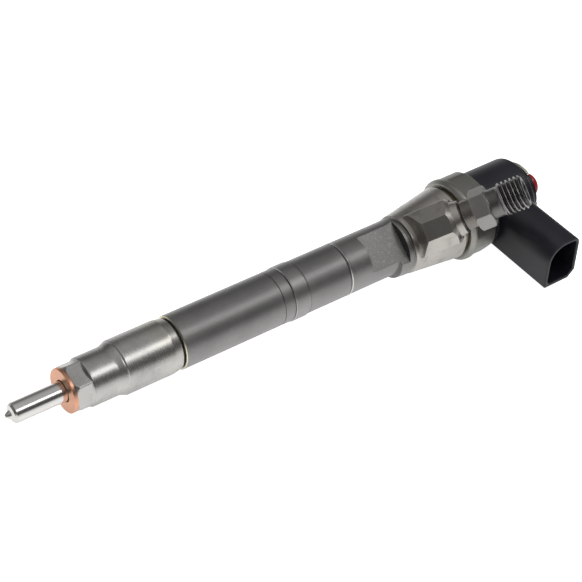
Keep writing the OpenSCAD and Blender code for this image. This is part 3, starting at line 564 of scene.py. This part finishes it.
def inlet_zones(tree, coord):
    """Neck and shank in a darker oiled finish than the hexagon, and the thread with its roots painted dark as
    shade.
    """
    station = along_axis(tree, coord, inlet_along, inlet_x * inlet_along.x)
    neck = between(tree, station, inlet_hex_end + 0.1 * MM, inlet_thread + 0.2 * MM, 0.1 * MM)
    shank = calc(tree, "SUBTRACT", 1.0, stepped(tree, station, inlet_hex - 0.3 * MM, inlet_hex))
    thread = stepped(tree, station, inlet_thread - 0.2 * MM, inlet_thread + 0.2 * MM)
    out = put(tree, "ShaderNodeVectorMath", {0: coord}, operation="SUBTRACT")
    out.inputs[1].default_value = (inlet_x, 0, 0)
    square = put(tree, "ShaderNodeVectorMath", {0: out.outputs[0], 1: out.outputs[0]},
                 operation="DOT_PRODUCT").outputs["Value"]
    radius = calc(tree, "SQRT", calc(tree, "SUBTRACT", square, calc(tree, "MULTIPLY", station, station)), 0)
    # Painted shade: near black in the thread roots.
    root = calc(tree, "MULTIPLY", thread, calc(tree, "SUBTRACT", 1.0, stepped(
        tree, radius, thread_r - 0.50 * MM, thread_r - 0.15 * MM)))
    return [(neck, (0.20, 0.195, 0.19), 0.36), (shank, (0.24, 0.22, 0.20), 0.38),
            (thread, (0.34, 0.33, 0.325), 0.27),
            (root, (0.05, 0.05, 0.05), 0.5)]


def stem_zones(tree, coord):
    """Slightly duller grinding on the cone at the tip."""
    x = along_axis(tree, coord, (1, 0, 0))
    tip_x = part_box("nozzle_body")[0][0]
    tip = calc(tree, "SUBTRACT", 1.0, stepped(tree, x, tip_x + 2.2 * MM, tip_x + 3.4 * MM))
    return [(tip, (0.76, 0.74, 0.71), 0.2)]


def red_zones(tree, coord):
    """Pale band at the cap's closed end, a painted highlight."""
    x = along_axis(tree, coord, (1, 0, 0))
    # Painted highlight: pale colour on the cap's closed end.
    return [(calc(tree, "MULTIPLY", stepped(tree, x, x_seal_end - 0.45 * MM, x_seal_end - 0.25 * MM), 0.85),
             (0.62, 0.50, 0.48), 0.2)]


FINISH = {
    "bright_steel": steel("polished_steel", (0.80, 0.785, 0.765), 0.15, lines=5200, cut=0.25e-6, grain=0.1e-6,
                          cloud=0.03, scratches=0.25, wear_and_highlight=0.1, zones=stem_zones),
    "nut_steel": steel("turned_steel", (0.51, 0.50, 0.485), 0.27, lines=1900, cut=0.18e-6, cloud=0.18,
                       wear_and_highlight=0.6, zones=nut_zones),
    "body_steel": steel("ground_steel", (0.27, 0.265, 0.26), 0.47, lines=3800, cut=0.7e-6, grain=0.7e-6,
                        cloud=0.09, wear_and_highlight=0.4, pits=0.25, film=1.0, zones=body_zones),
    "black_steel": steel("phosphated_steel", (0.34, 0.335, 0.305), 0.42, lines=2000, cut=0.8e-6, grain=1.5e-6,
                         cloud=0.14, scratches=0.4, wear_and_highlight=0.5, pits=0.4, film=0.8),
    "spring_steel": steel("drawn_wire", (0.5, 0.5, 0.5), 0.3, cut=0.2e-6),
    "copper": steel("annealed_copper", (0.74, 0.39, 0.255), 0.30, lines=2400, cut=0.6e-6, grain=0.8e-6,
                    cloud=0.12, wear_and_highlight=0.3, scratches=0.3),
    "enamelled_copper": steel("enamelled_winding", (0.60, 0.28, 0.12), 0.3, cut=0.2e-6),
    "contact_brass": steel("tinned_brass", (0.70, 0.60, 0.40), 0.3, axis=(0, 1, 0), cut=0.3e-6),
    "black_plastic": moulded("black_moulding", (0.010, 0.0105, 0.015), 0.36),
    "red_plastic": moulded("red_cap", (0.30, 0.012, 0.016), 0.22, texture=0.3e-6, zones=red_zones),
    "black_rubber": moulded("ring_rubber", (0.02, 0.02, 0.02), 0.6),
    "inlet_steel": steel("oiled_steel", (0.36, 0.35, 0.335), 0.46, axis=tuple(inlet_along), lines=2600,
                         cut=0.8e-6, grain=1.0e-6, cloud=0.10, wear_and_highlight=0.6, pits=0.15, film=0.5,
                         zones=inlet_zones),
    "clip_steel": steel("plated_wire", (0.80, 0.76, 0.64), 0.22, lines=900, cut=0.1e-6, wear_and_highlight=0.1),
}


# ---------------------------------------------------------------- turned pieces

def make_washer():
    """Flat ring with softly crushed edges: a rounded rectangle turned about the axis."""
    low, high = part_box("sealing_washer")
    outer = (high[1] - low[1]) / 2
    inner = stem_r + 0.3 * MM
    ring = [(x_washer, inner), (x_washer, outer), (x_washer_end, outer), (x_washer_end, inner)]
    outline = refined(rounded(ring, 0.32 * MM, 8), 0.25 * MM)
    make_piece("copper_washer", "sealing_washer", [(turned_grid(INJECTOR, outline), True)], FINISH["copper"])


def make_nozzle_nut():
    """Nut about the axis: its radius is the larger of the turned outline and the chamfered nose hexagon."""
    hexagon, hex_len, narrow, wide, step_x = mm([14.8, 5.0, 8.5, 9.5, 17.8])
    bore, body_bore = stem_r + 0.1 * MM, 7.2 * MM
    seat = x_nut + 6.5 * MM
    thread = x_nut + 26 * MM
    x_hex = x_nut + hex_len
    step_x = x_nut + step_x
    nose = hexagon / 2 + 0.35 * MM
    ring = [(x_nut, bore), (x_nut, nose), (x_hex - 0.02 * MM, nose), (x_hex, hexagon / 2 + 0.1 * MM),
            (x_hex + 0.9 * MM, narrow), (step_x - 2.2 * MM, narrow), (step_x - 0.7 * MM, narrow + 0.5 * MM),
            (step_x - 0.2 * MM, wide - 0.35 * MM), (step_x + 0.15 * MM, wide - 0.35 * MM),
            (step_x + 0.5 * MM, wide), (x_nut_end - 3.1 * MM, wide), (x_nut_end, wide - 0.55 * MM),
            (x_nut_end, body_bore + 0.75 * MM), (thread, body_bore + 0.75 * MM), (thread, body_bore),
            (seat, body_bore), (seat, bore)]
    radii = mm([0.3, 0.05, 0.01, 0.02, 0.3, 0.6, 0.35, 0.1, 0.1, 0.15, 0.3, 0.25, 0.3, 0.1, 0.1, 0.1, 0.1])
    outline = refined(rounded(ring, radii, 6), 0.18 * MM)
    angle = turn_angles(264)
    x, r = outline[:, :1], outline[:, 1:]
    corner = math.radians(39.5)
    chamfer = nose + (x - x_nut) * 0.7
    prism = soft_min(prism_radius(angle[None], 6, hexagon, corner, 0.35 * MM),
                     np.minimum(chamfer, narrow), 0.06 * MM)
    on_nose = (x <= x_hex + 1.0 * MM) & (r > bore + 0.5 * MM) & (x < seat)
    reach_out = np.clip((r - bore) / (nose - bore), 0, 1)
    hexed = np.where(x < x_hex - 0.01 * MM, bore + (prism - bore) * reach_out, np.maximum(prism, r))
    radius = np.where(on_nose, hexed, r + 0 * angle)
    points = place(INJECTOR, x + 0 * angle, radius, 0 * x + angle)
    make_piece("clamping_nut", "nozzle_nut", [(points, True)], FINISH["nut_steel"])


def make_solenoid_nut():
    """Nut about the axis: the turned outline cut to six flats behind its round rim, every edge softened."""
    outer, across, rim, bore, rear_bore = mm([15, 28.2, 2.6, 12.05, 10.95])
    seat = x_sol + 8.1 * MM
    corner = math.radians(56)
    ring = [(x_sol, bore), (x_sol, outer - 1 * MM), (x_sol + 1.2 * MM, outer), (x_sol_end - 1.2 * MM, outer),
            (x_sol_end, outer - 1.1 * MM), (x_sol_end, rear_bore), (seat, rear_bore), (seat, bore)]
    outline = refined(rounded(ring, 0.35 * MM, 6), 0.16 * MM)
    angle = turn_angles(300)
    x, r = outline[:, :1], outline[:, 1:]
    behind = np.clip((x - x_sol - rim) / (0.35 * MM) + 0.5, 0, 1)
    behind = behind * behind * (3 - 2 * behind)
    cut = soft_min(prism_radius(angle[None], 6, across, corner, 2.0 * MM), r + 0 * angle, 0.10 * MM)
    radius = np.where(r > bore + 0.2 * MM, r + (cut - r) * behind, r + 0 * angle)
    points = place(INJECTOR, x + 0 * angle, radius, 0 * x + angle)
    make_piece("solenoid_clamping_nut", "solenoid_nut", [(points, True)], FINISH["black_steel"])


def make_inlet():
    """Inlet about its own axis: shank, rounded hexagon, neck, right-hand helical thread and cone seat."""
    shank, screw, hexagon, bore, wide_bore = mm([5.2, 5.0, 13.0, 1.5, 1.9])
    pitch, depth = 1.5 * MM, 0.92 * MM
    seat_r = bore + 4.2 * MM * math.tan(math.radians(30))
    face = hexagon / 2 + 0.15 * MM
    ring = [(inlet_screw, bore), (inlet_screw, screw - 0.6 * MM), (inlet_screw + 0.6 * MM, screw),
            (inlet_nose - 1 * MM, screw), (inlet_nose - 0.6 * MM, screw - 0.5 * MM),
            (inlet_nose + 0.4 * MM, screw - 0.5 * MM), (inlet_nose + 0.8 * MM, shank), (inlet_hex, shank),
            (inlet_hex, face), (inlet_hex + 0.9 * MM, face + 1.3 * MM),
            (inlet_hex_end - 0.9 * MM, face + 1.3 * MM),
            (inlet_hex_end, face), (inlet_hex_end, shank), (inlet_thread - 0.6 * MM, shank),
            (inlet_thread + 0.2 * MM, thread_r), (inlet_end - 1 * MM, thread_r),
            (inlet_end, thread_r - 1 * MM),
            (inlet_end, seat_r), (inlet_end - 4.2 * MM, bore), (inlet_end - 4.5 * MM, bore),
            (inlet_end - 4.5 * MM, wide_bore), (inlet_hex, wide_bore), (inlet_hex, bore)]
    radii = mm([0.1, 0.1, 0.1, 0.1, 0.1, 0.1, 0.2, 0.25, 0.2, 0.3, 0.3, 0.2, 0.4, 0.3, 0.2, 0.25, 0.2,
                0.12, 0.1, 0.05, 0.1, 0.1, 0.1])
    outline = refined(rounded(ring, radii, 5), 0.11 * MM)
    angle = turn_angles(216)
    x, r = outline[:, :1], outline[:, 1:]
    prism = prism_radius(angle[None], 6, hexagon, math.radians(40), 0.3 * MM)
    on_hex = (x > inlet_hex - 0.001 * MM) & (x < inlet_hex_end + 0.001 * MM) & (r > shank + 0.1 * MM)
    radius = np.where(on_hex, soft_min(prism, r + 0 * angle, 0.07 * MM), r + 0 * angle)
    turn = (x - inlet_thread) / pitch + angle[None] / (2 * math.pi)
    tooth = np.abs((turn % 1) * 2 - 1)
    groove = depth * np.clip((tooth - 0.16) / 0.62, 0, 1)
    fade = np.clip((x - inlet_thread) / (0.9 * MM), 0, 1)
    on_thread = (x > inlet_thread) & (r > seat_r + 0.3 * MM)
    cut = np.minimum(radius, thread_r - groove * fade)
    radius = np.where(on_thread, cut, radius)
    points = place(INLET, x + 0 * angle, radius, 0 * x + angle)
    make_piece("threaded_inlet", "inlet_fitting", [(points, True)], FINISH["inlet_steel"], smooth=50)


def make_seal():
    """Closed transit cap turned about the axis, with a rolled foot and a domed end."""
    low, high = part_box("return_seal")
    outer = (high[1] - low[1]) / 2
    inner = outer - 1.25 * MM
    roof = x_seal_end - 1.25 * MM
    line = [(x_seal_end, 0), (x_seal_end, outer - 0.9 * MM), (x_seal_end - 0.9 * MM, outer - 0.12 * MM),
            (x_seal + 1.3 * MM, outer - 0.25 * MM), (x_seal + 1.0 * MM, outer), (x_seal, outer),
            (x_seal, inner),
            (roof, inner), (roof, 0)]
    radii = mm([0, 0.5, 0.6, 0.1, 0.15, 0.2, 0.1, 0.1, 0])
    outline = refined(rounded(line, radii, 6, ring=False), 0.3 * MM, ring=False)
    make_piece("return_transit_cap", "return_seal", [(turned_grid(INJECTOR, outline, 96), False)],
               FINISH["red_plastic"])


def make_clip():
    """Spring wire bent to an open ring: a circle carried along an arc, closing to a round end at each tip."""
    low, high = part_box("return_clip")
    centre = (high[1] - low[1]) / 2 - wire_r
    open_mid, open_half = math.radians(36), math.radians(36)
    tip = np.linspace(0, math.pi / 2, 7)
    arc = np.linspace(open_mid + open_half, open_mid - open_half + 2 * math.pi, 150)
    lead = wire_r / centre
    path = np.concatenate([arc[0] - lead * np.cos(tip[:-1]), arc, arc[-1] + lead * np.cos(tip[-2::-1])])
    thick = wire_r * np.concatenate([np.sin(tip[:-1]), np.ones(len(arc)), np.sin(tip[-2::-1])])
    around = turn_angles(20)
    radius = centre + thick[:, None] * np.cos(around)
    station = clip_x + thick[:, None] * np.sin(around)
    points = place(INJECTOR, station, radius, path[:, None] + 0 * around)
    make_piece("wire_clip", "return_clip", [(points, False)], FINISH["clip_steel"])


def make_winding():
    """Bobbin winding: a ring whose outside is ridged turn by turn, r = R + a |sin|, and smooth inside."""
    low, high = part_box("solenoid_coil")
    outer = (high[1] - low[1]) / 2
    wire = 0.5 * MM
    s = np.linspace(0, 1, 240)
    x = x_coil + (x_coil_end - x_coil) * s
    ridges = outer - wire * 0.35 * (1 - np.abs(np.sin(math.pi * (x - x_coil) / wire)))
    outside = np.stack([x, ridges], axis=1)
    inside = np.array([(x_coil_end, 4.7 * MM), (x_coil, 4.7 * MM)])
    make_piece("coil_winding", "solenoid_coil",
               [(turned_grid(INJECTOR, np.vstack([outside, inside]), 96), True)], FINISH["enamelled_copper"])


# ---------------------------------------------------------------- solenoid cap

def d_outline(width, height, corners, flatness, arc_steps=9, side_steps=14):
    """Closed outline: four arcs centre + r (cos, sin), pulled towards their chords, with straight sides."""
    signs = np.array([(-1, 1), (1, 1), (1, -1), (-1, -1)], float)
    start = np.radians([180, 90, 0, 270])
    r = np.array(corners, float)[:, None]
    centre = signs * (np.array([width / 2, height / 2]) - r)
    phi = start[:, None] - np.linspace(0, math.pi / 2, arc_steps)[None]
    arc = centre[:, None] + r[:, :, None] * np.stack([np.cos(phi), np.sin(phi)], axis=-1)
    t = np.linspace(0, 1, arc_steps)[None, :, None]
    chord = arc[:, :1] + (arc[:, -1:] - arc[:, :1]) * t
    arc = arc + (chord - arc) * np.array(flatness, float)[:, None, None]
    last, following = arc[:, -1], np.roll(arc[:, 0], -1, axis=0)
    u = np.linspace(0, 1, side_steps + 2)[1:-1][None, :, None]
    sides = last[:, None] + (following - last)[:, None] * u
    return np.concatenate([arc, sides], axis=1).reshape(-1, 2)


def make_cap():
    """Cap turned about the axis, plus the socket: a D outline carried along -Y, rolled in at its mouth."""
    radius, turret, wall_in, bore = mm([13.15, 9.6, 10.95, 1.5])
    spout_r = 3.2 * MM
    x_end = x_turret - 4.4 * MM
    cavity = x_sol_end + 4.35 * MM
    groove = wire_r + 0.1 * MM
    ring = [(x_sol_end, wall_in), (x_sol_end, radius), (x_end, radius), (x_end, turret),
            (clip_x - groove, turret), (clip_x - groove, turret - 0.6 * MM),
            (clip_x + groove, turret - 0.6 * MM),
            (clip_x + groove, turret - 0.3 * MM), (x_turret, 7.5 * MM), (x_turret, spout_r),
            (x_spout, spout_r),
            (x_spout, bore), (cavity, bore), (cavity, wall_in)]
    radii = mm([0.1, 0.35, 1.0, 0.4, 0.15, 0.1, 0.1, 0.15, 0.35, 0.4, 0.3, 0.2, 0.1, 0.3])
    outline = refined(rounded(ring, radii, 7), 0.5 * MM)
    barrel = turned_grid(INJECTOR, outline, 192)

    mouth = -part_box("solenoid_cap")[0][1]
    socket_x = MOUNTS["plug_socket"]["pos_m"][0]
    width, height, wall, depth = mm([13.8, 17.8, 1.3, 18.0])
    outer = d_outline(width, height, mm([7.6, 3.0, 2.8, 0.7]), (0, 0, 1, 0))
    inner = d_outline(width - 2 * wall, height - 2 * wall, mm([6.3, 1.7, 2.2, 1.6]), (0, 0, 1, 0))
    root = 12.0 * MM
    start = np.sqrt(root ** 2 - outer[:, 1] ** 2)
    grow = np.linspace(0, 1, 6)[:, None, None]
    floor_rows = grow * outer[None]
    floor_y = np.sqrt(root ** 2 - floor_rows[..., 1] ** 2)
    t = np.linspace(0, 1, 40)[1:, None]
    edge = 0.35 * MM
    wall_y = start[None] + (mouth - edge - start[None]) * t
    swell = 1 - 0.012 * (1 - t)
    wall_rows = outer[None] * swell[..., None] + 0 * t[..., None]
    phi = np.linspace(0, math.pi, 11)[1:, None]
    share = (1 - np.cos(phi)) / 2
    lip_rows = outer[None] + (inner - outer)[None] * share[..., None]
    lip_y = mouth - edge + edge * np.sin(phi) + 0 * start[None]
    s = np.linspace(0, 1, 24)[1:, None]
    in_rows = inner[None] * (1 - 0.02 * s[..., None])
    in_y = mouth - edge - (depth - edge) * s + 0 * start[None]
    shrink = np.linspace(0.97, 0, 4)[:, None, None]
    end_rows = in_rows[-1:] * shrink
    end_y = np.full(end_rows.shape[:2], mouth - depth)
    flat_rows = np.concatenate([floor_rows, wall_rows, lip_rows, in_rows, end_rows])
    y = np.concatenate([floor_y, wall_y, lip_y, in_y, end_y])
    socket = np.stack([flat_rows[..., 0] + socket_x, -y, flat_rows[..., 1]], axis=-1)
    make_piece("solenoid_cap_moulding", "solenoid_cap", [(barrel, True), (socket, False)],
               FINISH["black_plastic"], smooth=38)


make_washer()
make_nozzle_nut()
make_solenoid_nut()
make_inlet()
make_seal()
make_clip()
make_winding()
make_cap()

for node, obj in frame["nodes"].items():
    obj.data.materials.clear()
    obj.data.materials.append(FINISH[SLOTS[node]])
